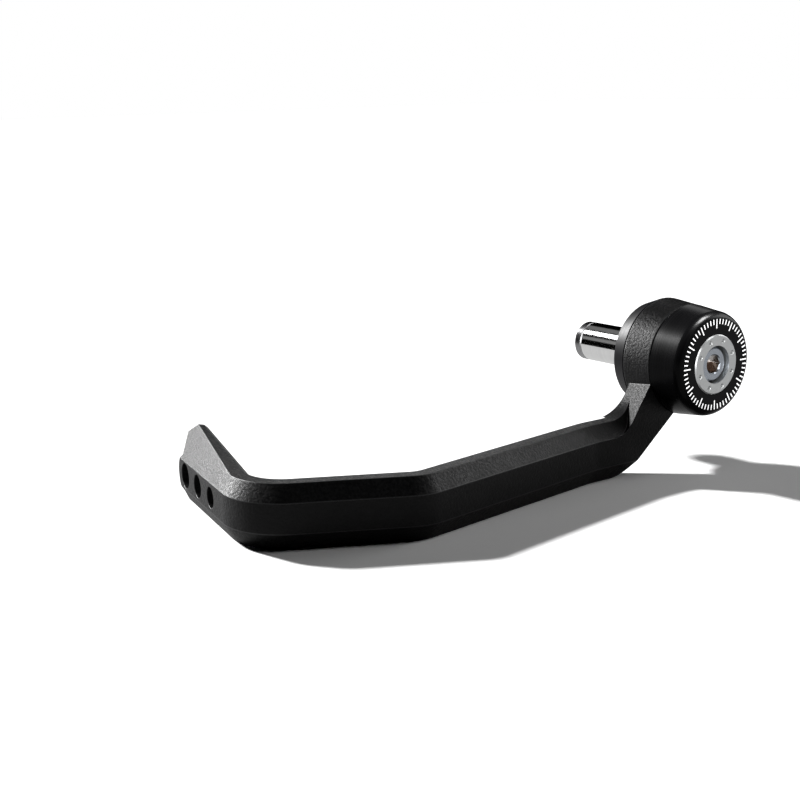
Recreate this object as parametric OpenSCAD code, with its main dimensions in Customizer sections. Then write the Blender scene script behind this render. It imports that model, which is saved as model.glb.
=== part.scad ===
// Lever guard for the end of a handlebar. A machined arm reaches forward past
// the lever and hooks back inboard in a faceted pad. The arm's ring is clamped
// between a turned rear ring and an end cap by one long bolt, which also pulls
// a plug into the expanding sleeve inside the bar.
// X is forward along the arm, Y is outboard along the bar, Z is up.
// The origin is on the bar's axis, in the face that seats on the bar's end.

/* [Bar end] */
// Diameter of the seat flange, the same as the handlebar
bar_d = 22.2; // [20:0.1:24]
// Thickness of the seat flange
flange_t = 2; // [1.4:0.1:2.6]
// Outer diameter of the sleeve that goes inside the bar
spigot_d = 11.6; // [11:0.1:14]
// Length of the sleeve inboard of the seat face
sleeve_l = 24.6; // [18:0.2:34]
// Length of the plug that shows past the sleeve
plug_l = 3.6; // [3:0.2:6]

/* [Rings and cap] */
// Radius of the body at its widest edge, between the rear ring and the arm
body_r = 16.84; // [16:0.02:19]
// Angle at which the body narrows towards the cap
body_taper = 6.2; // [3:0.1:9]
// Depth of the rear ring behind that edge
rear_l = 5.63; // [4.6:0.01:8]
// Radius of the rear ring's lip
lip_r = 14.9; // [14:0.1:15.6]
// How far the lip reaches over the bar
lip_overlap = 1.5; // [0.8:0.1:2.4]
// Width of the arm's ring
ring_w = 9.13; // [8.6:0.01:12]
// Radius of the bore in the arm's ring
ring_bore_r = 10; // [9:0.1:11]
// Length of each boss that centres the arm's ring
boss_l = 3; // [2:0.1:4]
// Length of the end cap
cap_l = 10.44; // [10:0.02:14]
// Radius of the end cap's rounded front edge
cap_edge_r = 2.6; // [1:0.1:3.4]

/* [Bolt and washer] */
// Diameter of the bolt
bolt_d = 6; // [5:0.1:6.2]
// Diameter of the bolt's head
head_d = 10; // [9:0.1:10.4]
// Height of the bolt's head
head_h = 6; // [5:0.1:6.4]
// Width of the hexagon socket across its flats
socket_af = 5; // [4:0.1:6]
// Depth of the socket
socket_depth = 3; // [2:0.1:3.6]
// Diameter of the cup washer's flange
washer_d = 17; // [16:0.1:18]
// Thickness of the washer's flange
washer_flange_t = 2.5; // [2:0.1:3.4]
// Number of dimples round the washer
dimples = 8; // [4:1:12]

/* [Arm] */
// Thickness of the arm
arm_t = 7.6; // [6:0.1:8.4]
// Height of the arm
arm_h = 16.6; // [14:0.1:20]
// How far the middle of the arm lies below the bar's axis
arm_drop = 22.55; // [20:0.05:25]
// Depth of the long chamfers on the outer face
chamfer_d = 2.4; // [1:0.1:3]
// Height of the outer face's flat band
band_h = 7.8; // [5:0.1:10]
// Bevel on the arm's inner edges
inner_bevel = 1.2; // [0.4:0.1:2]

/* [Drop from the ring] */
// Angle below forward at which the arm's upper face leaves the ring
leave_top = 18.8; // [10:0.1:26]
// Slope of that face
slope_top = 55.5; // [50:0.5:62]
// Angle below forward at which the arm's lower face leaves the ring
leave_low = 72; // [66:0.5:78]
// Slope of the lower face
slope_low = 39; // [36:0.5:44]
// Radius that joins the drop to the arm's top
top_fillet_r = 13; // [6:0.5:16]
// Radius that joins the drop to the outer band
band_fillet_r = 8; // [4:0.5:12]
// Radius under the elbow
elbow_r = 10; // [4:0.5:16]

/* [Arm's route] */
// Distance forward from the bar's axis to where the elbow's bend starts
elbow_x = 34; // [31:0.5:45]
// Outboard turn at the elbow
elbow_turn = 8.625; // [3:0.005:14]
// Radius of the outer face in that turn
elbow_bend_r = 20; // [10:1:30]
// Length of the straight run from the elbow to the kink
first_l = 61; // [45:0.2:85]
// Inboard turn at the kink
kink_turn = 36.396; // [24:0.002:46]
// Radius of the outer face round the kink
kink_r = 12; // [10:0.5:24]
// Length of the straight run from the kink to the hook's corner
second_l = 29.5; // [20:0.2:50]
// Inboard turn at the hook's corner
corner_turn = 74.565; // [60:0.005:90]
// Radius of the outer face round the corner
corner_r = 17; // [12:0.5:20]

/* [Pad] */
// Length of the pad from the end of the corner's bend
pad_l = 42; // [38:0.1:60]
// Angle at which the pad's top rises, while its bottom stays level
pad_flare = 7.8; // [3:0.1:10]
// Distance from the pad's end to its last hole
tip_hole_back = 9.2; // [8.6:0.1:12]
// Distance from hole to hole
hole_pitch = 11.25; // [8:0.05:12]
// Diameter of the smallest hole, the one by the corner
small_hole_d = 5.6; // [4:0.1:6]
// How much each hole is wider than the one before
hole_growth = 0.65; // [0:0.05:0.8]
// Distance from the pad's end to where the end facet starts
end_facet_back = 6.2; // [5:0.1:7.4]
// Slope of the end facet, away from the outer face
end_facet_slope = 38; // [30:0.5:50]
// Width of the wall left round the last hole
tip_wall = 2.9; // [2:0.1:3.4]

/* [Hidden] */
$fn = 96;
fit_gap = 0.05;          // radial gap between pieces that locate each other
bolt_gap = 0.3;          // radial gap round the bolt
flange_gap = 0.4;        // radial gap between the sleeve and the flange's bore
recess_gap = 1.3;        // radial gap round the seat flange
edge_break = 0.3;        // chamfer that breaks a turned edge
tip_corner_back = 1.5;   // point of the tip's slanted corner, from the pad's end
tip_corner_in = 4;       // the same, from the outer face
tip_corner_up = 9.85;    // the same, above the middle of the pad
TIP_CORNER_NORMAL = [0.55, -0.44, 0.71];
washer_proud = 0.3;      // height of the washer above the cap's face
washer_floor = 1.5;      // thickness under the bolt's head
head_sunk = 1;           // depth of the head below the washer's face
cup_gap = 0.4;           // radial gap round the bolt's head
cup_wall = 1.5;          // wall of the cup round that gap
dimple_r = 0.8;
dimple_depth = 0.35;
socket_cone = 0.6;       // chamfer round the mouth of the socket
cone_l = 4;              // length of the plug's cone inside the sleeve
cone_rise = 0.9;         // radius that the cone gains
cone_gap = 0.2;          // space left in front of the cone
cone_wall = 0.7;         // step from the bolt's bore to the cone's narrow end
neck_cut = 0.4;          // relief of the sleeve where it passes the flange
bolt_tail = 1.5;         // bolt that shows past the plug
push = 0.1;              // overlap that keeps cutters clear of a surface
spare_turn = 5;          // extra angle that a bend is trimmed by
root_l = 2;              // how far the drop runs on into the ring
keep_lift = 0.1;         // how far what a chamfer leaves stands off the drop's slope
reach = 90;              // size of the blocks that cut whole sides away

rear_y = rear_l - lip_overlap;
seam_y = rear_y + ring_w;
cap_y = seam_y + cap_l;
seam_r = body_r - ring_w * tan(body_taper);
cap_face_r = seam_r - cap_l * tan(body_taper);
spigot_r = spigot_d / 2;
bolt_r = bolt_d / 2;
head_r = head_d / 2;
cup_r = head_r + cup_gap;
cup_depth = head_h + head_sunk;
washer_y = cap_y + washer_proud;
head_seat_y = washer_y - cup_depth;
bore_r = bolt_r + bolt_gap;
cone_tip_r = bore_r + cone_wall;
plug_y = -sleeve_l;
tail_y = plug_y - plug_l - bolt_tail;

arm_out = seam_y;
top_z = -arm_drop + arm_h / 2;
low_z = -arm_drop - arm_h / 2;
band_top_z = -arm_drop + band_h / 2;
band_low_z = -arm_drop - band_h / 2;
facet_h = (arm_h - band_h) / 2;
leave_r = seam_r - edge_break;
root_z = -leave_r * sin(leave_top) + root_l;
tip_hole_s = pad_l - tip_hole_back;
HOLES = 3;
tip_hole_d = small_hole_d + (HOLES - 1) * hole_growth;

function along(angle) = [cos(angle), sin(angle)];

// Places a turned piece, drawn round Z, on the bar's axis with its base at y.
module on_bar(y) translate([0, y, 0]) rotate([-90, 0, 0]) children();

// The sliver between a corner at p and the arc of radius r that is tangent to
// the two edges that leave p at angles a and b. It is added in an inner corner
// and cut from an outer one.
module corner_sliver(p, a, b, r) {
    half = acos(along(a) * along(b)) / 2;
    middle = (along(a) + along(b)) / norm(along(a) + along(b));
    centre = p + middle * r / sin(half);
    tangent = r / tan(half);
    difference() {
        polygon([p - middle * push, p + along(a) * tangent, centre, p + along(b) * tangent]);
        translate(centre) circle(r);
    }
}

// A block that fills the side of a plane at p that its normal n points to.
module half_space(p, n) {
    translate(p)
        rotate([0, acos(n.z / norm(n)), atan2(n.y, n.x)])
            translate([-reach / 2, -reach / 2, 0]) cube([reach, reach, reach / 2]);
}

// The point at height z on the drop's upper slope, raised off it by lift.
function on_slope(z, lift = 0) =
    let (top = leave_r * along(-leave_top))
    [top.x + (top.y - z) / tan(slope_top) + lift / sin(slope_top), z];

// Side view of the drop from the ring to the elbow.
module drop_outline() {
    low = leave_r * along(-leave_low);
    heel = [low.x + (low.y - low_z) / tan(slope_low), low_z];
    difference() {
        union() {
            polygon([on_slope(root_z), on_slope(top_z), [elbow_x, top_z], [elbow_x, low_z], heel,
                     low - root_l * along(-slope_low)]);
            corner_sliver(on_slope(top_z), 180 - slope_top, 0, top_fillet_r);
        }
        corner_sliver(heel, 180 - slope_low, 0, elbow_r);
    }
}

// What a chamfer that ends at height z leaves of that view, with the radius r
// where it runs out on the slope.
module kept_outline(z, r) {
    polygon([[0, root_z], on_slope(root_z, keep_lift), on_slope(z, keep_lift),
             [elbow_x + 2 * push, z], [elbow_x + 2 * push, low_z - push], [0, low_z - push]]);
    corner_sliver(on_slope(z, keep_lift), 180 - slope_top, 0, r);
}

// A plate with a side view, from the arm's outer face to the depth t.
module side_plate(t) {
    translate([0, arm_out, 0]) rotate([90, 0, 0]) linear_extrude(t) children();
}

// Cross-section of the arm, with its outer face on the vertical axis.
module arm_section() {
    polygon([[0, band_low_z], [0, band_top_z], [-chamfer_d, top_z],
             [-arm_t + inner_bevel, top_z], [-arm_t, top_z - inner_bevel],
             [-arm_t, low_z + inner_bevel], [-arm_t + inner_bevel, low_z],
             [-chamfer_d, low_z]]);
}

// A prism along X from a cross-section drawn across it.
module along_x(length) rotate([90, 0, 90]) linear_extrude(length) children();

// The side of the outer face that a chamfer cuts away, in the cross-section.
module outer_waste() {
    far = 6;
    polygon([[push, band_top_z], [0, band_top_z],
             [-far * chamfer_d, band_top_z + far * facet_h], [push, band_top_z + far * facet_h]]);
}

// The same for the bevel on the inner top edge.
module inner_waste() {
    polygon([[-arm_t - push, top_z - inner_bevel - push], [-arm_t + inner_bevel + push, top_z + push],
             [-arm_t - push, top_z + push]]);
}

// Turns a cutter for the arm's top into the one for its bottom.
module flip_to_bottom() translate([0, 0, -2 * arm_drop]) mirror([0, 0, 1]) children();

// The drop from the ring. The chamfers of the arm run out on its slopes.
module drop() {
    difference() {
        side_plate(arm_t) drop_outline();
        difference() {
            translate([0, arm_out, 0]) along_x(elbow_x + push) outer_waste();
            translate([0, push, 0]) side_plate(reach) kept_outline(band_top_z, band_fillet_r);
        }
        difference() {
            translate([0, arm_out, 0]) along_x(elbow_x + push) inner_waste();
            side_plate(reach) kept_outline(top_z - inner_bevel, top_fillet_r);
        }
        flip_to_bottom() translate([0, arm_out, 0]) along_x(elbow_x + push) outer_waste();
        flip_to_bottom() translate([0, arm_out, 0]) along_x(elbow_x + push) inner_waste();
    }
}

// The arm's frames: X runs along its outer face, which is the plane Y = 0, and
// each bend starts in the frame where the run before it ends.
module at_elbow() translate([elbow_x, arm_out, 0]) children();
module after_left(turn, r)
    translate([0, r, 0]) rotate([0, 0, turn]) translate([0, -r, 0]) children();
module after_right(turn, r)
    translate([0, -r, 0]) rotate([0, 0, -turn]) translate([0, r, 0]) children();
module at_first() at_elbow() after_left(elbow_turn, elbow_bend_r) children();
module at_kink() at_first() translate([first_l, 0, 0]) children();
module at_second() at_kink() after_right(kink_turn, kink_r) children();
module at_corner() at_second() translate([second_l, 0, 0]) children();
module at_pad() at_corner() after_right(corner_turn, corner_r) children();

// A bend towards the bar's side, trimmed square where the next run starts.
module right_bend(turn, r) {
    difference() {
        translate([0, -r, 0]) mirror([1, -1, 0])
            rotate_extrude(angle = turn + spare_turn) translate([r, 0]) arm_section();
        after_right(turn, r) half_space([0, 0, -arm_drop], [1, 0, 0]);
    }
}

// A bend the other way, with its centre outside the outer face.
module left_bend(turn, r) {
    difference() {
        translate([0, r, 0]) rotate([0, 0, -90])
            rotate_extrude(angle = turn + spare_turn)
                translate([r, 0]) mirror([1, 0]) arm_section();
        after_left(turn, r) half_space([0, 0, -arm_drop], [1, 0, 0]);
    }
}

// What is cut from the upper half of the pad: the flare, the long facet, the
// inner bevel and the slanted corner of the tip.
module pad_top_waste() {
    rise = tan(pad_flare);
    half_space([0, 0, top_z], [-rise, 0, 1]);
    translate([0, -arm_t, top_z - inner_bevel])
        rotate([45, 0, 0]) half_space([0, 0, 0], [-rise * sin(45), 0, 1]);
    translate([-push, 0, 0]) along_x(reach) outer_waste();
    half_space([pad_l - tip_corner_back, -tip_corner_in, -arm_drop + tip_corner_up],
               TIP_CORNER_NORMAL);
}

// The end facet, with the round wall of the last hole left standing in it.
module end_facet_waste() {
    difference() {
        half_space([pad_l - end_facet_back, 0, -arm_drop],
                   [sin(end_facet_slope), cos(end_facet_slope), 0]);
        translate([tip_hole_s, push, -arm_drop])
            rotate([90, 0, 0]) cylinder(h = arm_t + 2 * push, r = tip_hole_d / 2 + tip_wall);
    }
}

module pad() {
    difference() {
        translate([0, -arm_t, low_z]) cube([pad_l, arm_t, arm_h + pad_l]);
        pad_top_waste();
        flip_to_bottom() translate([-push, 0, 0]) along_x(reach) {
            outer_waste();
            inner_waste();
        }
        end_facet_waste();
        for (i = [0 : HOLES - 1])
            translate([tip_hole_s - (HOLES - 1 - i) * hole_pitch, push, -arm_drop])
                rotate([90, 0, 0])
                    cylinder(h = arm_t + 2 * push, d = small_hole_d + i * hole_growth);
    }
}

module guard_arm() {
    color("#1d1d1f")
        difference() {
            union() {
                on_bar(rear_y) rotate_extrude()
                    polygon([[0, 0], [body_r - edge_break, 0], [body_r - edge_break / 2, edge_break / 2],
                             [seam_r, ring_w - edge_break], [seam_r - edge_break, ring_w], [0, ring_w]]);
                drop();
                at_elbow() left_bend(elbow_turn, elbow_bend_r);
                at_first() along_x(first_l) arm_section();
                at_kink() right_bend(kink_turn, kink_r);
                at_second() along_x(second_l) arm_section();
                at_corner() right_bend(corner_turn, corner_r);
                at_pad() pad();
            }
            on_bar(rear_y - push) cylinder(h = ring_w + 2 * push, r = ring_bore_r);
        }
}

// The cap, with a stepped pocket for the cup washer and a boss into the arm.
module end_cap() {
    pocket = cup_depth + washer_floor - washer_proud;
    side = 90 + body_taper;
    color("#161617")
        on_bar(seam_y) difference() {
            union() {
                rotate_extrude() difference() {
                    polygon([[0, 0], [seam_r - edge_break, 0], [seam_r, edge_break],
                             [cap_face_r, cap_l], [0, cap_l]]);
                    corner_sliver([cap_face_r, cap_l], side + 180, 180, cap_edge_r);
                }
                translate([0, 0, -boss_l]) cylinder(h = boss_l + push, r = ring_bore_r - fit_gap);
            }
            translate([0, 0, -boss_l - push]) cylinder(h = cap_l + boss_l, r = bore_r);
            translate([0, 0, cap_l - pocket])
                cylinder(h = pocket + push, r = cup_r + cup_wall + fit_gap);
            translate([0, 0, cap_l + washer_proud - washer_flange_t])
                cylinder(h = washer_flange_t, r = washer_d / 2 + fit_gap);
        }
}

// The satin cup washer that the bolt's head sits in.
module cup_washer() {
    dimple_at = (cup_r + washer_d / 2) / 2;
    color("#b9babb")
        on_bar(head_seat_y - washer_floor) difference() {
            union() {
                cylinder(h = cup_depth + washer_floor, r = cup_r + cup_wall);
                translate([0, 0, cup_depth + washer_floor - washer_flange_t])
                    rotate_extrude()
                        polygon([[0, 0], [washer_d / 2, 0],
                                 [washer_d / 2, washer_flange_t - edge_break],
                                 [washer_d / 2 - edge_break, washer_flange_t],
                                 [0, washer_flange_t]]);
            }
            translate([0, 0, -push]) cylinder(h = washer_floor + 2 * push, r = bore_r);
            translate([0, 0, washer_floor]) cylinder(h = cup_depth + push, r = cup_r);
            for (i = [0 : dimples - 1])
                rotate([0, 0, (i + 0.5) * 360 / dimples])
                    translate([dimple_at, 0, cup_depth + washer_floor + dimple_r - dimple_depth])
                        sphere(dimple_r);
        }
}

module clamp_bolt() {
    socket_r = socket_af / 2 / cos(30);
    shank_l = head_seat_y - tail_y;
    color("#a9b0b8")
        on_bar(tail_y) difference() {
            rotate_extrude()
                polygon([[0, 0], [bolt_r - edge_break * 2, 0], [bolt_r - fit_gap, edge_break * 2],
                         [bolt_r - fit_gap, shank_l], [head_r, shank_l],
                         [head_r, shank_l + head_h - edge_break * 2],
                         [head_r - edge_break * 2, shank_l + head_h], [0, shank_l + head_h]]);
            translate([0, 0, shank_l + head_h - socket_depth]) {
                cylinder(h = socket_depth + push, r = socket_r, $fn = 6);
                translate([0, 0, socket_depth - socket_cone])
                    cylinder(h = socket_cone + push, r1 = socket_r - socket_cone, r2 = socket_r + push);
            }
        }
}

// The rear ring: a bevelled rim, a recess for the flange and a boss into the arm.
module rear_ring() {
    recess_r = bar_d / 2 + recess_gap;
    recess = lip_overlap + flange_t;
    color("#2b2a2e")
        on_bar(-lip_overlap) difference() {
            union() {
                rotate_extrude()
                    polygon([[0, 0], [lip_r - edge_break, 0], [lip_r, edge_break],
                             [body_r - edge_break / 2, rear_l - edge_break],
                             [body_r - edge_break, rear_l], [0, rear_l]]);
                translate([0, 0, rear_l - push]) cylinder(h = boss_l + push, r = ring_bore_r - fit_gap);
            }
            translate([0, 0, -push]) cylinder(h = rear_l + boss_l + 2 * push, r = bore_r);
            translate([0, 0, -push]) cylinder(h = recess + push, r = recess_r);
        }
}

module seat_flange() {
    color("#c9cacc")
        on_bar(0) difference() {
            rotate_extrude()
                polygon([[0, 0], [bar_d / 2 - edge_break, 0], [bar_d / 2, edge_break],
                         [bar_d / 2, flange_t], [0, flange_t]]);
            translate([0, 0, -push]) cylinder(h = flange_t + 2 * push, r = spigot_r + flange_gap);
        }
}

// The sleeve bears on the rear ring and opens over the plug's cone.
module spigot_sleeve() {
    throat_r = cone_tip_r + fit_gap;
    neck_r = spigot_r - neck_cut;
    color("#dcdddf")
        on_bar(plug_y) difference() {
            rotate_extrude()
                polygon([[0, 0], [spigot_r - edge_break, 0], [spigot_r, edge_break],
                         [spigot_r, sleeve_l], [neck_r, sleeve_l],
                         [neck_r, sleeve_l + flange_t], [0, sleeve_l + flange_t]]);
            translate([0, 0, -push]) cylinder(h = sleeve_l + flange_t + 2 * push, r = bore_r);
            cylinder(h = cone_l, r1 = throat_r + cone_rise, r2 = throat_r);
        }
}

// The plug that the bolt draws into the sleeve.
module expander_plug() {
    color("#c4c5c7")
        on_bar(plug_y - plug_l) difference() {
            rotate_extrude()
                polygon([[0, 0], [spigot_r - edge_break * 4, 0], [spigot_r, edge_break * 4],
                         [spigot_r, plug_l - edge_break], [spigot_r - edge_break, plug_l],
                         [cone_tip_r + cone_rise, plug_l], [cone_tip_r, plug_l + cone_l - cone_gap],
                         [0, plug_l + cone_l - cone_gap]]);
            translate([0, 0, -push]) cylinder(h = plug_l + cone_l + push, r = bolt_r);
        }
}

guard_arm();
end_cap();
cup_washer();
clamp_bolt();
rear_ring();
seat_flange();
spigot_sleeve();
expander_plug();
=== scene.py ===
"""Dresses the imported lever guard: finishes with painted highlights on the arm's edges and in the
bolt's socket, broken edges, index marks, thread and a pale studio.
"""

import logging
import math
from dataclasses import dataclass, field, replace
from enum import Enum

import bmesh
import bpy
from mathutils import Matrix, Vector

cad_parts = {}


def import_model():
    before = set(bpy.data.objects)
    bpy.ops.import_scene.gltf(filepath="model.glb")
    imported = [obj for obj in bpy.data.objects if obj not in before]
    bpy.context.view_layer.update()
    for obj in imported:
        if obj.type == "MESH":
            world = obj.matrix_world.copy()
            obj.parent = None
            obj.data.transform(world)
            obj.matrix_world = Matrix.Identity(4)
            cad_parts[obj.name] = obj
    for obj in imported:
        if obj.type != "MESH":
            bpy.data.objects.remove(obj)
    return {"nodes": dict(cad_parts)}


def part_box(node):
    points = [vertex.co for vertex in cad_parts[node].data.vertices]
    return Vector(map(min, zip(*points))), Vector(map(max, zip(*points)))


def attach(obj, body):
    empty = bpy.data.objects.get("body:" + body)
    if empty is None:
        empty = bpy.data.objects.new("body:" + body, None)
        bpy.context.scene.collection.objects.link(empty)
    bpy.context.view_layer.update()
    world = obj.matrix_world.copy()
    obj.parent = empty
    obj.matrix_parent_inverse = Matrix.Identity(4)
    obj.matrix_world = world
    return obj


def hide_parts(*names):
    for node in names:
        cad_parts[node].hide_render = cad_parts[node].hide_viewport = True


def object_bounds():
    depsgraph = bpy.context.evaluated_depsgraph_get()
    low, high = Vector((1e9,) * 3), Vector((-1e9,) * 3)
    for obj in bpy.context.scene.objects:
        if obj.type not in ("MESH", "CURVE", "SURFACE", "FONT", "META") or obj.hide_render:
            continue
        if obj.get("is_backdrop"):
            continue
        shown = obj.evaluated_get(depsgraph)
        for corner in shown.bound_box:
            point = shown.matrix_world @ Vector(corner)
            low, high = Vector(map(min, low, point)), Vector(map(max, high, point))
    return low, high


log = logging.getLogger("lever_guard")

MM = 0.001
SIZE_DIGITS = 7

Colour = tuple[float, float, float]
Place = tuple[float, float, float]
Socket = bpy.types.NodeSocket
Nodes = dict[str, bpy.types.Object]


class Grain(Enum):
    """How fine a blasted surface is, in grains per metre."""

    FINE = 5200.0
    COARSE = 1500.0


class Lathe(Enum):
    """How close the turning lines of a lathed surface lie, in lines per metre."""

    FINE = 9000.0
    COARSE = 4200.0


# ---------------------------------------------------------------- node trees


class Graph:
    """A node tree with short calls to add nodes, set their inputs and link them."""

    def __init__(self, tree: bpy.types.NodeTree) -> None:
        """Keeps the tree.

        Args:
            tree: The node tree to build in.
        """
        self.tree = tree

    def add(self, kind: str, **inputs: object) -> bpy.types.Node:
        """Adds a node and sets or links its inputs.

        Args:
            kind: Blender's name of the node's type.
            **inputs: Input values by name, with _ for a space, or a socket to link.

        Returns:
            The new node.
        """
        node = self.tree.nodes.new(kind)
        for name, value in inputs.items():
            self.feed(node, name.replace("_", " "), value)
        return node

    def feed(self, node: bpy.types.Node, name: str | int, value: object) -> None:
        """Sets an input of a node, or links a socket to it.

        Args:
            node: The node.
            name: The input's name or number.
            value: A plain value, or an output socket.
        """
        socket = node.inputs[name]
        if isinstance(value, bpy.types.NodeSocket):
            self.tree.links.new(value, socket)
        else:
            socket.default_value = value

    def math(self, operation: str, a: object, b: object = 0.0, c: object = 0.0) -> Socket:
        """Adds a Math node.

        Args:
            operation: The operation's name.
            a: First value or socket.
            b: Second value or socket.
            c: Third value or socket.

        Returns:
            The result's socket.
        """
        node = self.tree.nodes.new("ShaderNodeMath")
        node.operation = operation
        for i, value in enumerate((a, b, c)):
            self.feed(node, i, value)
        return node.outputs[0]

    def ramp(self, value: Socket, low: float, high: float, out_low: float = 0.0,
             out_high: float = 1.0) -> Socket:
        """Maps a value's range to another, clamped.

        Args:
            value: The value's socket.
            low: Start of its range.
            high: End of its range.
            out_low: Result at the start.
            out_high: Result at the end.

        Returns:
            The result's socket.
        """
        node = self.tree.nodes.new("ShaderNodeMapRange")
        for i, item in enumerate((value, low, high, out_low, out_high)):
            self.feed(node, i, item)
        return node.outputs[0]

    def mix(self, share: Socket, none: Colour | Socket, full: Colour | Socket) -> Socket:
        """Mixes two colours.

        Args:
            share: How much of the second colour shows, from 0 to 1.
            none: The colour at 0.
            full: The colour at 1.

        Returns:
            The colour's socket.
        """
        node = self.tree.nodes.new("ShaderNodeMix")
        node.data_type = "RGBA"
        factor, first, second, result = 0, 6, 7, 2
        self.feed(node, factor, share)
        for number, colour in ((first, none), (second, full)):
            self.feed(node, number, (*colour, 1.0) if isinstance(colour, tuple) else colour)
        return node.outputs[result]

    def combine(self, x: object = 0.0, y: object = 0.0, z: object = 0.0) -> Socket:
        """Joins three values to a vector.

        Args:
            x: First value or socket.
            y: Second value or socket.
            z: Third value or socket.

        Returns:
            The vector's socket.
        """
        return self.add("ShaderNodeCombineXYZ", X=x, Y=y, Z=z).outputs[0]

    def bar_place(self) -> tuple[Socket, Socket, Socket]:
        """Reads where the surface lies by the bar, whose axis is the object's Y.

        Returns:
            The sockets of the distance from the axis, the place along it, and the height.
        """
        place = self.add("ShaderNodeTexCoord").outputs["Object"]
        x, y, z = self.add("ShaderNodeSeparateXYZ", Vector=place).outputs
        squares = self.math("ADD", self.math("POWER", x, 2.0), self.math("POWER", z, 2.0))
        return self.math("SQRT", squares), y, z


def surface_group(name: str, inputs: dict[str, float]) -> tuple[Graph, dict[str, Socket]]:
    """Starts a shader node group with float inputs, and the outputs Normal and Mask.

    Args:
        name: The group's name.
        inputs: Default value by input name.

    Returns:
        The graph, and the inputs' sockets by name.
    """
    tree = bpy.data.node_groups.new(name, "ShaderNodeTree")
    for key, value in inputs.items():
        socket = tree.interface.new_socket(key, in_out="INPUT", socket_type="NodeSocketFloat")
        socket.default_value = value
    for key, kind in (("Normal", "NodeSocketVector"), ("Mask", "NodeSocketFloat")):
        tree.interface.new_socket(key, in_out="OUTPUT", socket_type=kind)
    graph = Graph(tree)
    entry = graph.add("NodeGroupInput")
    return graph, {key: entry.outputs[key] for key in inputs}


def close_surface(graph: Graph, given: dict[str, Socket], height: Socket,
                  mask: Socket) -> bpy.types.NodeTree:
    """Ends a surface group in a bumped normal and a mask.

    Args:
        graph: The group's graph.
        given: The group's inputs by name, Strength and Depth among them.
        height: The pattern's height.
        mask: The pattern's mask, from 0 to 1.

    Returns:
        The group.
    """
    bump = graph.add("ShaderNodeBump", Strength=given["Strength"], Distance=given["Depth"],
                     Height=height)
    graph.add("NodeGroupOutput", Normal=bump.outputs[0], Mask=mask)
    return graph.tree


def blast_grain() -> bpy.types.NodeTree:
    """Builds the grain of a blasted and anodised surface.

    Returns:
        A group with the outputs Normal, and Mask from 0 to 1.
    """
    clouds_per_metre, cloud_share, pit_share = 140.0, 0.15, 0.85
    mask_from, mask_to = 0.42, 0.58
    graph, given = surface_group(
        "blast_grain", {"Scale": Grain.COARSE.value, "Strength": 0.3, "Depth": 0.2 * MM})
    place = graph.add("ShaderNodeTexCoord").outputs["Object"]
    pits = graph.add("ShaderNodeTexNoise", Vector=place, Scale=given["Scale"], Detail=3.0,
                     Roughness=0.6).outputs[0]
    cloud = graph.add("ShaderNodeTexNoise", Vector=place, Scale=clouds_per_metre,
                      Detail=2.0).outputs[0]
    mixed = graph.math("MULTIPLY_ADD", cloud, cloud_share,
                       graph.math("MULTIPLY", pits, pit_share))
    return close_surface(graph, given, pits, graph.ramp(mixed, mask_from, mask_to))


def turning_lines() -> bpy.types.NodeTree:
    """Builds the fine rings that a lathe leaves round the bar's axis.

    Returns:
        A group with the outputs Normal, and Mask from 0 to 1.
    """
    mask_from, mask_to = 0.35, 0.65
    graph, given = surface_group(
        "turning_lines", {"Lines": Lathe.FINE.value, "Strength": 0.2, "Depth": 0.01 * MM})
    radius, along, _ = graph.bar_place()
    lines = graph.add("ShaderNodeTexNoise", Vector=graph.combine(radius, along),
                      Scale=given["Lines"], Detail=2.0, Roughness=0.5).outputs[0]
    return close_surface(graph, given, lines, graph.ramp(lines, mask_from, mask_to))


# ------------------------------------------------------------------ finishes


@dataclass(frozen=True, kw_only=True)
class Finish:
    """A metal finish: its colour, how it varies, how rough it is and how deep its pattern."""

    name: str
    slot: str
    light: Colour
    dark: Colour
    metallic: float
    rough: tuple[float, float]
    specular: float = 0.5
    strength: float = 0.3

    def material(self) -> bpy.types.Material:
        """Gives the finish's material, and builds it the first time.

        Returns:
            The material.
        """
        made = bpy.data.materials.get(self.name)
        if made:
            return made
        made = bpy.data.materials.new(self.name)
        made.use_nodes = True
        graph = Graph(made.node_tree)
        shader = made.node_tree.nodes["Principled BSDF"]
        shader.inputs["Metallic"].default_value = self.metallic
        shader.inputs["Specular IOR Level"].default_value = self.specular
        pattern = self.pattern(graph)
        pattern.inputs["Strength"].default_value = self.strength
        mask = pattern.outputs["Mask"]
        graph.feed(shader, "Normal", pattern.outputs["Normal"])
        graph.feed(shader, "Roughness", graph.ramp(mask, 0.0, 1.0, *self.rough))
        graph.feed(shader, "Base Color", self.colour(graph, mask))
        return made

    def pattern(self, graph: Graph) -> bpy.types.Node:
        """Adds the finish's surface pattern.

        Args:
            graph: The material's graph.

        Returns:
            The pattern's group node, with the outputs Normal and Mask.
        """
        raise NotImplementedError

    def colour(self, graph: Graph, mask: Socket) -> Socket:
        """Mixes the dark and the light colour by the mask.

        Args:
            graph: The material's graph.
            mask: The mask's socket.

        Returns:
            The colour's socket.
        """
        return graph.mix(mask, self.dark, self.light)


@dataclass(frozen=True, kw_only=True)
class Blasted(Finish):
    """A bead-blasted surface."""

    grain: Grain = Grain.FINE

    def pattern(self, graph: Graph) -> bpy.types.Node:
        """Adds the blasted grain.

        Args:
            graph: The material's graph.

        Returns:
            The grain's group node.
        """
        node = graph.add("ShaderNodeGroup")
        node.node_tree = bpy.data.node_groups.get("blast_grain") or blast_grain()
        node.inputs["Scale"].default_value = self.grain.value
        return node


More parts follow.
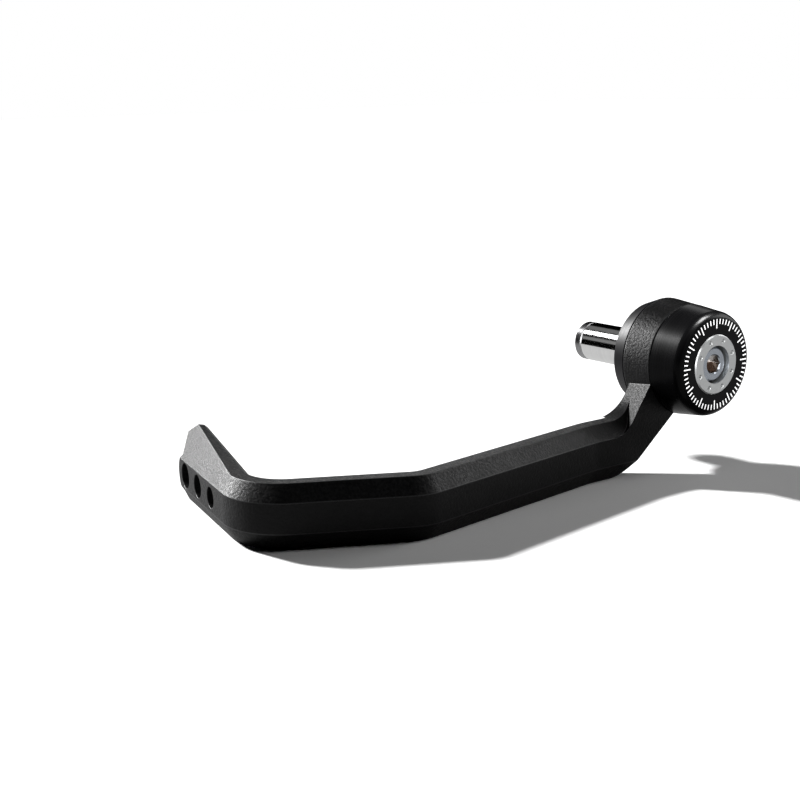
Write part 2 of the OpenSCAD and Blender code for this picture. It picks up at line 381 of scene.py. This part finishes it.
@dataclass(frozen=True, kw_only=True)
class Turned(Finish):
    """A lathed surface, with its lines round the bar's axis."""

    lathe: Lathe = Lathe.FINE

    def pattern(self, graph: Graph) -> bpy.types.Node:
        """Adds the turning lines.

        Args:
            graph: The material's graph.

        Returns:
            The lines' group node.
        """
        node = graph.add("ShaderNodeGroup")
        node.node_tree = bpy.data.node_groups.get("turning_lines") or turning_lines()
        node.inputs["Lines"].default_value = self.lathe.value
        return node


@dataclass(frozen=True, kw_only=True)
class Plated(Turned):
    """A plated bolt, whose socket is painted with a bright highlight above and a darker brown stain
    below.
    """

    stain: Colour = (0.13, 0.10, 0.083)
    # Painted highlight: near white, painted on the socket's upper facets.
    painted_highlight: Colour = (0.95, 0.94, 0.93)
    mouth: float = 0.0
    socket_depth: float = 3.6 * MM
    socket_radius: float = 3.0 * MM
    edge_blend: float = 0.05 * MM
    highlight_blend: float = 0.2 * MM

    def colour(self, graph: Graph, mask: Socket) -> Socket:
        """Mixes the plating's colours, and the socket's painted highlight above and brown stain
        below.

        Args:
            graph: The material's graph.
            mask: The mask's socket.

        Returns:
            The colour's socket.
        """
        radius, along, height = graph.bar_place()
        edge, bottom = self.edge_blend, self.mouth - self.socket_depth
        below = graph.ramp(along, self.mouth - edge, self.mouth, 1.0, 0.0)
        above = graph.ramp(along, bottom - edge, bottom)
        within = graph.ramp(radius, self.socket_radius, self.socket_radius + edge, 1.0, 0.0)
        inside = graph.math("MULTIPLY", graph.math("MULTIPLY", below, above), within)
        # Painted highlight: the socket is painted near white above its middle, standing in for lit
        # facets, and a darker brown stain below.
        stain_below_highlight_above = graph.ramp(height, -self.highlight_blend, self.highlight_blend)
        socket = graph.mix(stain_below_highlight_above, self.stain, self.painted_highlight)
        return graph.mix(inside, super().colour(graph, mask), socket)


ARM_BLACK = Blasted(
    name="arm_black_anodised", slot="arm_black", metallic=0.0,
    light=(0.0065, 0.0065, 0.0067), dark=(0.0035, 0.0035, 0.0037),
    rough=(0.35, 0.49), specular=0.15, strength=0.8, grain=Grain.COARSE)
# The bevels are real broken edges; their lighter colour and stronger gloss are a painted highlight
# along the arm's edges.
ARM_EDGE_HIGHLIGHT = Blasted(
    name="arm_black_edge_painted_highlight", slot="arm_black", metallic=0.0,
    light=(0.03, 0.03, 0.031), dark=(0.012, 0.012, 0.0125),
    rough=(0.34, 0.42), specular=0.3, strength=0.15)
CAP_BLACK = Turned(
    name="cap_black_satin", slot="cap_black", metallic=0.0,
    light=(0.0015, 0.0015, 0.0016), dark=(0.0007, 0.0007, 0.0008),
    rough=(0.23, 0.28), specular=0.06, strength=0.08)
RING_BLACK = Turned(
    name="ring_black_turned", slot="ring_black", metallic=0.0,
    light=(0.014, 0.013, 0.017), dark=(0.006, 0.0055, 0.0075),
    rough=(0.40, 0.50), specular=0.14, strength=0.25)
WASHER_SATIN = Blasted(
    name="washer_satin", slot="washer_satin", metallic=1.0,
    light=(0.29, 0.295, 0.295), dark=(0.22, 0.225, 0.225),
    rough=(0.42, 0.55), strength=0.22)
BOLT_ZINC = Plated(
    name="bolt_zinc", slot="bolt_zinc", metallic=1.0,
    light=(0.42, 0.45, 0.49), dark=(0.30, 0.325, 0.365),
    rough=(0.22, 0.34), strength=0.15)
SILVER_TURNED = Turned(
    name="silver_turned", slot="turned_silver", metallic=1.0,
    light=(0.40, 0.40, 0.405), dark=(0.28, 0.28, 0.285),
    rough=(0.28, 0.40), strength=0.35, lathe=Lathe.COARSE)
STEEL_POLISHED = Turned(
    name="steel_polished", slot="polished_steel", metallic=1.0,
    light=(0.90, 0.90, 0.895), dark=(0.78, 0.78, 0.78),
    rough=(0.08, 0.16), strength=0.10, lathe=Lathe.COARSE)
MARK_GREY = Blasted(
    name="mark_grey", slot="cap_black", metallic=0.0,
    light=(0.62, 0.62, 0.62), dark=(0.50, 0.50, 0.50),
    rough=(0.45, 0.60), specular=0.3, strength=0.15)


# ---------------------------------------------------------------- mesh tools


def place_in_scene(name: str, data: bpy.types.ID) -> bpy.types.Object:
    """Puts a new object for a mesh, a light or a camera in the scene.

    Args:
        name: The object's name.
        data: What the object holds.

    Returns:
        The object.
    """
    made = bpy.data.objects.new(name, data)
    bpy.context.scene.collection.objects.link(made)
    return made


def plain_mesh(name: str, source: bpy.types.Object) -> bpy.types.Object:
    """Turns an object with modifiers into a plain mesh object at the origin.

    Args:
        name: The new piece's name.
        source: The object, which is removed.

    Returns:
        The new object.
    """
    bpy.context.view_layer.update()
    seen = source.evaluated_get(bpy.context.evaluated_depsgraph_get())
    mesh = bpy.data.meshes.new_from_object(seen)
    mesh.name = name
    old = source.data
    bpy.data.objects.remove(source)
    bpy.data.meshes.remove(old)
    return place_in_scene(name, mesh)


def merged_copy(name: str, node: bpy.types.Object, reach: float,
                flat_within: float) -> bpy.types.Object:
    """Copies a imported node, with its loose triangles joined and its flat faces made whole.

    Args:
        name: The copy's name.
        node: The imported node.
        reach: Distance within which vertices are joined.
        flat_within: Angle below which neighbouring faces become one.

    Returns:
        The copy.
    """
    shape = bmesh.new()
    shape.from_mesh(node.data)
    bmesh.ops.remove_doubles(shape, verts=shape.verts, dist=reach)
    bmesh.ops.dissolve_degenerate(shape, edges=shape.edges, dist=reach)
    bmesh.ops.dissolve_limit(shape, angle_limit=flat_within, verts=shape.verts,
                             edges=shape.edges)
    mesh = bpy.data.meshes.new(name)
    shape.to_mesh(mesh)
    shape.free()
    return place_in_scene(name, mesh)


def dress(obj: bpy.types.Object, *finishes: Finish) -> bpy.types.Object:
    """Gives an object its finishes, one to each material slot, and the first to any other.

    Args:
        obj: The object.
        *finishes: The finishes, in the slots' order.

    Returns:
        The object.
    """
    while len(obj.data.materials) < len(finishes):
        obj.data.materials.append(None)
    for number, slot in enumerate(obj.material_slots):
        finish = finishes[number] if number < len(finishes) else finishes[0]
        slot.material = finish.material()
    return obj


def add_to_guard(piece: bpy.types.Object) -> bpy.types.Object:
    """Fastens a new piece to the guard's one body.

    Args:
        piece: The piece.

    Returns:
        The piece.
    """
    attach(piece, "root")
    return piece


class GeometryTree:
    """A Geometry Nodes tree with named inputs, run once on an empty mesh."""

    def __init__(self, name: str, sizes: dict[str, float | int], finish: Finish) -> None:
        """Starts the tree.

        Args:
            name: Name of the tree and of the piece it makes.
            sizes: Value by input name.
            finish: The piece's finish.
        """
        self.name, self.sizes, self.finish = name, sizes, finish
        tree = bpy.data.node_groups.new(name, "GeometryNodeTree")
        self.keys: dict[str, str] = {}
        for key, value in sizes.items():
            kind = "NodeSocketInt" if isinstance(value, int) else "NodeSocketFloat"
            self.keys[key] = tree.interface.new_socket(
                key, in_out="INPUT", socket_type=kind).identifier
        socket = tree.interface.new_socket(
            "Material", in_out="INPUT", socket_type="NodeSocketMaterial")
        self.keys["Material"] = socket.identifier
        tree.interface.new_socket("Geometry", in_out="OUTPUT", socket_type="NodeSocketGeometry")
        self.graph = Graph(tree)
        self.given = self.graph.add("NodeGroupInput").outputs

    def close(self, geometry: Socket) -> bpy.types.Object:
        """Ends the tree in Realize Instances and Set Material, and runs it.

        Args:
            geometry: The socket of the finished geometry.

        Returns:
            The piece, a plain mesh.
        """
        graph = self.graph
        real = graph.add("GeometryNodeRealizeInstances", Geometry=geometry)
        coat = graph.add("GeometryNodeSetMaterial", Geometry=real.outputs[0],
                         Material=self.given["Material"])
        graph.add("NodeGroupOutput", Geometry=coat.outputs[0])
        holder_name = self.name + "_holder"
        holder = place_in_scene(holder_name, bpy.data.meshes.new(holder_name))
        modifier = holder.modifiers.new(self.name, "NODES")
        modifier.node_group = graph.tree
        for key, value in self.sizes.items():
            modifier[self.keys[key]] = value
        modifier[self.keys["Material"]] = self.finish.material()
        return plain_mesh(self.name, holder)


# -------------------------------------------------------------- sub-assemblies


@dataclass
class GuardArm:
    """The machined arm, shown by a copy of its solid with broken edges that carry a painted
    highlight.
    """

    edge_width: float = 0.16 * MM
    edge_steps: int = 2
    sharp_from: float = math.radians(20)
    flat_within: float = math.radians(0.4)
    join_within: float = 0.004 * MM

    def build(self, nodes: Nodes) -> list[bpy.types.Object]:
        """Builds the arm's shown body.

        Args:
            nodes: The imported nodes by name.

        Returns:
            The shown piece.
        """
        body = merged_copy("arm_body_source", nodes["guard_arm"], self.join_within,
                           self.flat_within)
        bevel = body.modifiers.new("broken_edges", "BEVEL")
        bevel.width = self.edge_width
        bevel.segments = self.edge_steps
        bevel.limit_method = "ANGLE"
        bevel.angle_limit = self.sharp_from
        bevel.use_clamp_overlap = False
        bevel.miter_outer = "MITER_ARC"
        dress(body, ARM_BLACK, ARM_EDGE_HIGHLIGHT)
        # The bevels' faces take the edge material, which paints a highlight on them.
        bevel.material = 1
        body.modifiers.new("flat_shading", "WEIGHTED_NORMAL").keep_sharp = True
        body.data.shade_smooth()
        piece = add_to_guard(plain_mesh("arm_body", body))
        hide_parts("guard_arm")
        return [piece]


@dataclass
class EndCap:
    """The end cap, with a plain ring of index marks on its face."""

    marks: int = 60
    marks_inner: float = 10.3 * MM
    mark_length: float = 2.6 * MM
    mark_width: float = 0.34 * MM
    mark_proud: float = 0.02 * MM
    short_share: float = 0.55
    long_every: int = 5

    def build(self, nodes: Nodes) -> list[bpy.types.Object]:
        """Dresses the cap and builds its marks.

        Args:
            nodes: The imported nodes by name.

        Returns:
            The shown pieces.
        """
        marks = self.index_marks(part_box("end_cap")[1].y)
        return [dress(nodes["end_cap"], CAP_BLACK), add_to_guard(marks)]

    def index_marks(self, face: float) -> bpy.types.Object:
        """Builds the ring of short and long marks with Geometry Nodes.

        Args:
            face: The cap's face, along the bar's axis.

        Returns:
            The marks, half sunk in the face.
        """
        tree = GeometryTree("cap_marks", {
            "Count": self.marks, "Every": self.long_every, "Inner": self.marks_inner,
            "Length": self.mark_length, "Short": self.short_share, "Width": self.mark_width,
            "Depth": self.mark_proud * 2, "Face": face}, MARK_GREY)
        graph, given = tree.graph, tree.given
        index = graph.add("GeometryNodeInputIndex").outputs[0]
        turn = graph.math("MULTIPLY", graph.math("DIVIDE", index, given["Count"]), math.tau)
        slack = 0.1
        is_long = graph.math("COMPARE", graph.math("MODULO", index, given["Every"]), 0.0, slack)
        share = graph.math("MAXIMUM", is_long, given["Short"])
        half = graph.math("MULTIPLY", graph.math("MULTIPLY", given["Length"], share), 0.5)
        outer = graph.math("ADD", given["Inner"], given["Length"])
        middle = graph.math("SUBTRACT", outer, half)
        place = graph.combine(graph.math("MULTIPLY", middle, graph.math("COSINE", turn)),
                              given["Face"],
                              graph.math("MULTIPLY", middle, graph.math("SINE", turn)))
        points = graph.add("GeometryNodePoints", Count=given["Count"], Position=place)
        size = graph.combine(given["Length"], given["Depth"], given["Width"])
        mark = graph.add("GeometryNodeMeshCube", Size=size)
        ring = graph.add(
            "GeometryNodeInstanceOnPoints", Points=points.outputs[0], Instance=mark.outputs[0],
            Rotation=graph.combine(y=graph.math("MULTIPLY", turn, -1.0)),
            Scale=graph.combine(share, 1.0, 1.0))
        return tree.close(ring.outputs[0])


@dataclass
class ClampBolt:
    """The long bolt, its dimpled cup washer, and the thread on its tail."""

    thread_radius: float = 2.86 * MM
    crest: float = 0.30 * MM
    pitch: float = 1.0 * MM
    thread_clear: float = 0.12 * MM
    bolt_tail: float = 1.5 * MM
    mouth_down: float = 0.3 * MM
    turn_steps: int = 64
    ridge_sides: int = 6

    def build(self, nodes: Nodes) -> list[bpy.types.Object]:
        """Dresses the bolt and the washer, and builds the thread.

        Args:
            nodes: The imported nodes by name.

        Returns:
            The shown pieces.
        """
        tail, top = (corner.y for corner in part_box("clamp_bolt"))
        # The socket's material carries the painted highlight and the brown stain.
        head = replace(BOLT_ZINC, name="bolt_zinc_socket_painted_highlight", mouth=top - self.mouth_down)
        return [dress(nodes["clamp_bolt"], head), dress(nodes["cup_washer"], WASHER_SATIN),
                add_to_guard(self.tail_thread(tail))]

    def tail_thread(self, end: float) -> bpy.types.Object:
        """Builds the thread's ridge as a helix with Geometry Nodes.

        Args:
            end: The tail's end, along the bar's axis.

        Returns:
            The thread.
        """
        margin = self.thread_clear + self.crest
        to_bar_axis = -math.radians(90)
        tree = GeometryTree("tail_thread", {
            "Radius": self.thread_radius, "Crest": self.crest, "Pitch": self.pitch,
            "Run": self.bolt_tail - 2 * margin, "Start": end + margin,
            "Turn": to_bar_axis}, BOLT_ZINC)
        graph, given = tree.graph, tree.given
        helix = graph.add(
            "GeometryNodeCurveSpiral", Resolution=self.turn_steps, Height=given["Run"],
            Rotations=graph.math("DIVIDE", given["Run"], given["Pitch"]),
            Start_Radius=given["Radius"], End_Radius=given["Radius"])
        profile = graph.add("GeometryNodeCurvePrimitiveCircle", Resolution=self.ridge_sides,
                            Radius=given["Crest"])
        ridge = graph.add("GeometryNodeCurveToMesh", Curve=helix.outputs[0],
                          Profile_Curve=profile.outputs[0], Fill_Caps=True)
        laid = graph.add("GeometryNodeTransform", Geometry=ridge.outputs[0],
                         Translation=graph.combine(y=given["Start"]),
                         Rotation=graph.combine(x=given["Turn"]))
        return tree.close(laid.outputs[0])


@dataclass
class BarEnd:
    """The rear ring, the seat flange and the expanding sleeve with its plug."""

    finishes: dict[str, Finish] = field(default_factory=lambda: {
        "rear_ring": RING_BLACK, "seat_flange": SILVER_TURNED,
        "spigot_sleeve": STEEL_POLISHED, "expander_plug": SILVER_TURNED})

    def build(self, nodes: Nodes) -> list[bpy.types.Object]:
        """Dresses the turned parts.

        Args:
            nodes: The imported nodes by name.

        Returns:
            The shown pieces.
        """
        return [dress(nodes[name], finish) for name, finish in self.finishes.items()]


# ---------------------------------------------------------------------- studio


class Receiver(Enum):
    """The pieces that a soft box lights, by name; an empty tuple stands for everything."""

    ALL = ()
    BLACK = ("arm_body", "end_cap", "cap_marks")
    CAP = ("end_cap", "cap_marks")
    RING = ("rear_ring",)
    METAL = ("cup_washer", "clamp_bolt", "seat_flange", "spigot_sleeve", "expander_plug",
             "tail_thread")


def shine_only_on(light: bpy.types.Object, lit: list[bpy.types.Object]) -> None:
    """Links a light to the objects that it may light.

    Args:
        light: The light.
        lit: The objects.
    """
    group = bpy.data.collections.new(light.name + "_lit")
    for obj in lit:
        group.objects.link(obj)
    light.light_linking.receiver_collection = group


@dataclass
class SoftBox:
    """A square area light that shines at the guard and that the camera doesn't see.

    It stands at an azimuth and elevation in degrees and a distance in metres from where it
    aims. Its side is in metres and its power in watts.
    """

    name: str
    azimuth: float
    elevation: float
    distance: float
    side: float
    power: float
    receiver: Receiver = Receiver.ALL
    aim: Place = (0.05, 0.0, -0.01)

    def build(self, pieces: Nodes) -> None:
        """Builds the light.

        Args:
            pieces: The guard's shown pieces by name.
        """
        lamp = bpy.data.lights.new(self.name, "AREA")
        lamp.shape = "SQUARE"
        lamp.size = self.side
        lamp.energy = self.power
        box = place_in_scene(self.name, lamp)
        turn, rise = math.radians(self.azimuth), math.radians(self.elevation)
        level = math.cos(rise)
        way = Vector((level * math.cos(turn), level * math.sin(turn), math.sin(rise)))
        box.location = Vector(self.aim) + way * self.distance
        box.rotation_euler = (-way).to_track_quat("-Z", "Y").to_euler()
        box.visible_camera = False
        if self.receiver.value:
            shine_only_on(box, [pieces[name] for name in self.receiver.value])


def matt_paint(name: str) -> tuple[bpy.types.Material, bpy.types.Node]:
    """Starts a material without gloss.

    Args:
        name: The material's name.

    Returns:
        The material and its shader.
    """
    paint = bpy.data.materials.new(name)
    paint.use_nodes = True
    shader = paint.node_tree.nodes["Principled BSDF"]
    shader.inputs["Specular IOR Level"].default_value = 0.0
    return paint, shader


def stage_sheet(name: str, corners: list[Place], paint: bpy.types.Material) -> bpy.types.Object:
    """Builds a flat sheet that belongs to the stage.

    Args:
        name: The sheet's name.
        corners: Its four corners, in order.
        paint: Its material.

    Returns:
        The sheet.
    """
    mesh = bpy.data.meshes.new(name)
    mesh.from_pydata(corners, [], [(0, 1, 2, 3)])
    mesh.materials.append(paint)
    sheet = place_in_scene(name, mesh)
    sheet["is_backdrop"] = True
    return sheet


@dataclass
class Flag:
    """A black card that stands on the floor across the Y axis, seen only in reflections."""

    left: float
    right: float
    near: float
    top: float

    def build(self, name: str, floor_z: float, cloth: bpy.types.Material) -> None:
        """Builds the card.

        Args:
            name: The card's name.
            floor_z: The floor's height.
            cloth: The card's material.
        """
        corners = [(self.left, self.near, floor_z), (self.right, self.near, floor_z),
                   (self.right, self.near, self.top), (self.left, self.near, self.top)]
        card = stage_sheet(name, corners, cloth)
        card.visible_camera = card.visible_diffuse = card.visible_shadow = False


@dataclass
class Studio:
    """The pale floor, the lights, and the camera at the photograph's place."""

    camera_place: Place = (0.302256, 0.284018, 0.080212)
    camera_right: Place = (-0.8021, 0.59693, -0.0177)
    camera_up: Place = (-0.14669, -0.1682, 0.97478)
    lens: float = 63.73
    sensor: float = 36.0
    clip: tuple[float, float] = (0.01, 50.0)
    floor_half: float = 4.0
    floor_white: float = 0.88
    floor_bounce: float = 0.37
    floor_rough: float = 0.9
    key_shift: tuple[float, float] = (-0.328, 1.407)
    key_strength: float = 8.5
    key_spread: float = math.radians(5.0)
    flag_black: Colour = (0.004, 0.004, 0.004)
    flags: tuple[Flag, ...] = (
        Flag(-0.06, 0.04, -0.115, 0.018), Flag(0.02, 0.16, -0.118, 0.004))
    room_light: float = 0.0
    backdrop: float = 1.0
    boxes: tuple[SoftBox, ...] = (
        SoftBox("fill", 136, 55, 0.8, 0.30, 1.1),
        SoftBox("far_fill", 168, 20, 1.2, 0.50, 3.4),
        SoftBox("low_left", -64, 12, 1.0, 0.20, 11.5, Receiver.BLACK),
        SoftBox("mid_left", -46, 22, 1.0, 0.20, 1.5, Receiver.BLACK),
        SoftBox("high_back", -58, 36, 1.0, 0.20, 18.0, Receiver.BLACK),
        SoftBox("back", -125, 16, 1.0, 0.30, 0.65, Receiver.BLACK),
        SoftBox("right", 150, 24, 0.8, 0.25, 1.5, Receiver.BLACK),
        SoftBox("rim", 133, 57, 0.8, 0.28, 36.0, Receiver.CAP),
        SoftBox("cap_left", -58, 36, 1.0, 0.20, 28.0, Receiver.CAP),
        SoftBox("cap_back", -139, 28, 1.0, 0.30, 0.3, Receiver.CAP),
        SoftBox("ring_back", -93, 16, 1.0, 0.15, 9.0, Receiver.RING),
        SoftBox("metal_back", -66, 43, 1.0, 0.25, 2.2, Receiver.METAL),
        SoftBox("metal_top", -104, 44, 1.0, 0.35, 0.06, Receiver.METAL),
        SoftBox("metal_low", -46, 20, 1.0, 0.25, 0.045, Receiver.METAL),
        SoftBox("metal_front", 60, 35, 0.8, 0.20, 1.2, Receiver.METAL),
        SoftBox("socket", 40, 8, 0.6, 0.30, 2.4, Receiver.METAL),
    )

    def build(self, floor_z: float, pieces: list[bpy.types.Object]) -> None:
        """Builds the floor, the lights, the flags and the camera.

        Args:
            floor_z: The floor's height.
            pieces: The guard's shown pieces.
        """
        by_name = {piece.name: piece for piece in pieces}
        self.key_light(self.floor(floor_z))
        for box in self.boxes:
            box.build(by_name)
        cloth, shader = matt_paint("flag_black")
        shader.inputs["Base Color"].default_value = (*self.flag_black, 1.0)
        for number, flag in enumerate(self.flags):
            flag.build(f"flag_{number}", floor_z, cloth)
        self.room()
        self.camera()

    def floor(self, height: float) -> bpy.types.Object:
        """Builds the floor as a plain pale sheet, which throws back less than the camera sees.

        Args:
            height: The floor's height.

        Returns:
            The floor.
        """
        paint, shader = matt_paint("floor_white")
        graph = Graph(paint.node_tree)
        seen = graph.add("ShaderNodeLightPath").outputs["Is Camera Ray"]
        grey = graph.ramp(seen, 0.0, 1.0, self.floor_bounce, self.floor_white)
        white = graph.add("ShaderNodeCombineColor", Red=grey, Green=grey, Blue=grey)
        graph.feed(shader, "Base Color", white.outputs[0])
        shader.inputs["Roughness"].default_value = self.floor_rough
        half = self.floor_half
        corners = [(-half, -half, height), (half, -half, height), (half, half, height),
                   (-half, half, height)]
        return stage_sheet("floor", corners, paint)

    def key_light(self, sheet: bpy.types.Object) -> None:
        """Builds the floor's key light, whose shadows shift by key_shift for each unit of height.

        Args:
            sheet: The floor, which alone receives this light.
        """
        lamp = bpy.data.lights.new("key", "SUN")
        lamp.energy = self.key_strength
        lamp.angle = self.key_spread
        sun = place_in_scene("key", lamp)
        ray = Vector((*self.key_shift, -1.0))
        sun.rotation_euler = ray.to_track_quat("-Z", "Y").to_euler()
        shine_only_on(sun, [sheet])

    def room(self) -> None:
        """Makes the dark room, which the camera sees as a white backdrop."""
        world = bpy.data.worlds.new("room")
        bpy.context.scene.world = world
        world.use_nodes = True
        graph = Graph(world.node_tree)
        seen = graph.add("ShaderNodeLightPath").outputs["Is Camera Ray"]
        light = world.node_tree.nodes["Background"]
        light.inputs["Color"].default_value = (1.0, 1.0, 1.0, 1.0)
        graph.feed(light, "Strength", graph.ramp(seen, 0.0, 1.0, self.room_light, self.backdrop))

    def camera(self) -> None:
        """Places the camera where the photograph was taken from."""
        right, up = Vector(self.camera_right).normalized(), Vector(self.camera_up).normalized()
        turn = Matrix((right, up, right.cross(up))).transposed()
        eye = bpy.data.cameras.new("photo_camera")
        eye.lens = self.lens
        eye.sensor_width = self.sensor
        eye.clip_start, eye.clip_end = self.clip
        view = place_in_scene("photo_camera", eye)
        view.matrix_world = Matrix.Translation(self.camera_place) @ turn.to_4x4()
        bpy.context.scene.camera = view


def plain_box(box: tuple[Vector, Vector]) -> list[list[float]]:
    """Turns a box into plain lists.

    Args:
        box: Its lowest and highest corners.

    Returns:
        The corners as lists of numbers.
    """
    return [[round(float(value), SIZE_DIGITS) for value in corner] for corner in box]


def main() -> None:
    """Builds the guard's sub-assemblies in order, then the studio."""
    logging.basicConfig(level=logging.INFO, format="%(name)s: %(message)s")
    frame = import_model()
    solids = plain_box(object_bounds())
    pieces: list[bpy.types.Object] = []
    for part in (GuardArm(), EndCap(), ClampBolt(), BarEnd()):
        for piece in part.build(frame["nodes"]):
            pieces.append(piece)
            log.info("%s: %s, %d faces", type(part).__name__, piece.name,
                     len(piece.data.polygons))
    lowest = solids[0][2]
    Studio().build(lowest, pieces)
    bpy.context.scene.view_settings.view_transform = "Standard"
    bpy.context.view_layer.update()


if __name__ == "__main__":
    main()
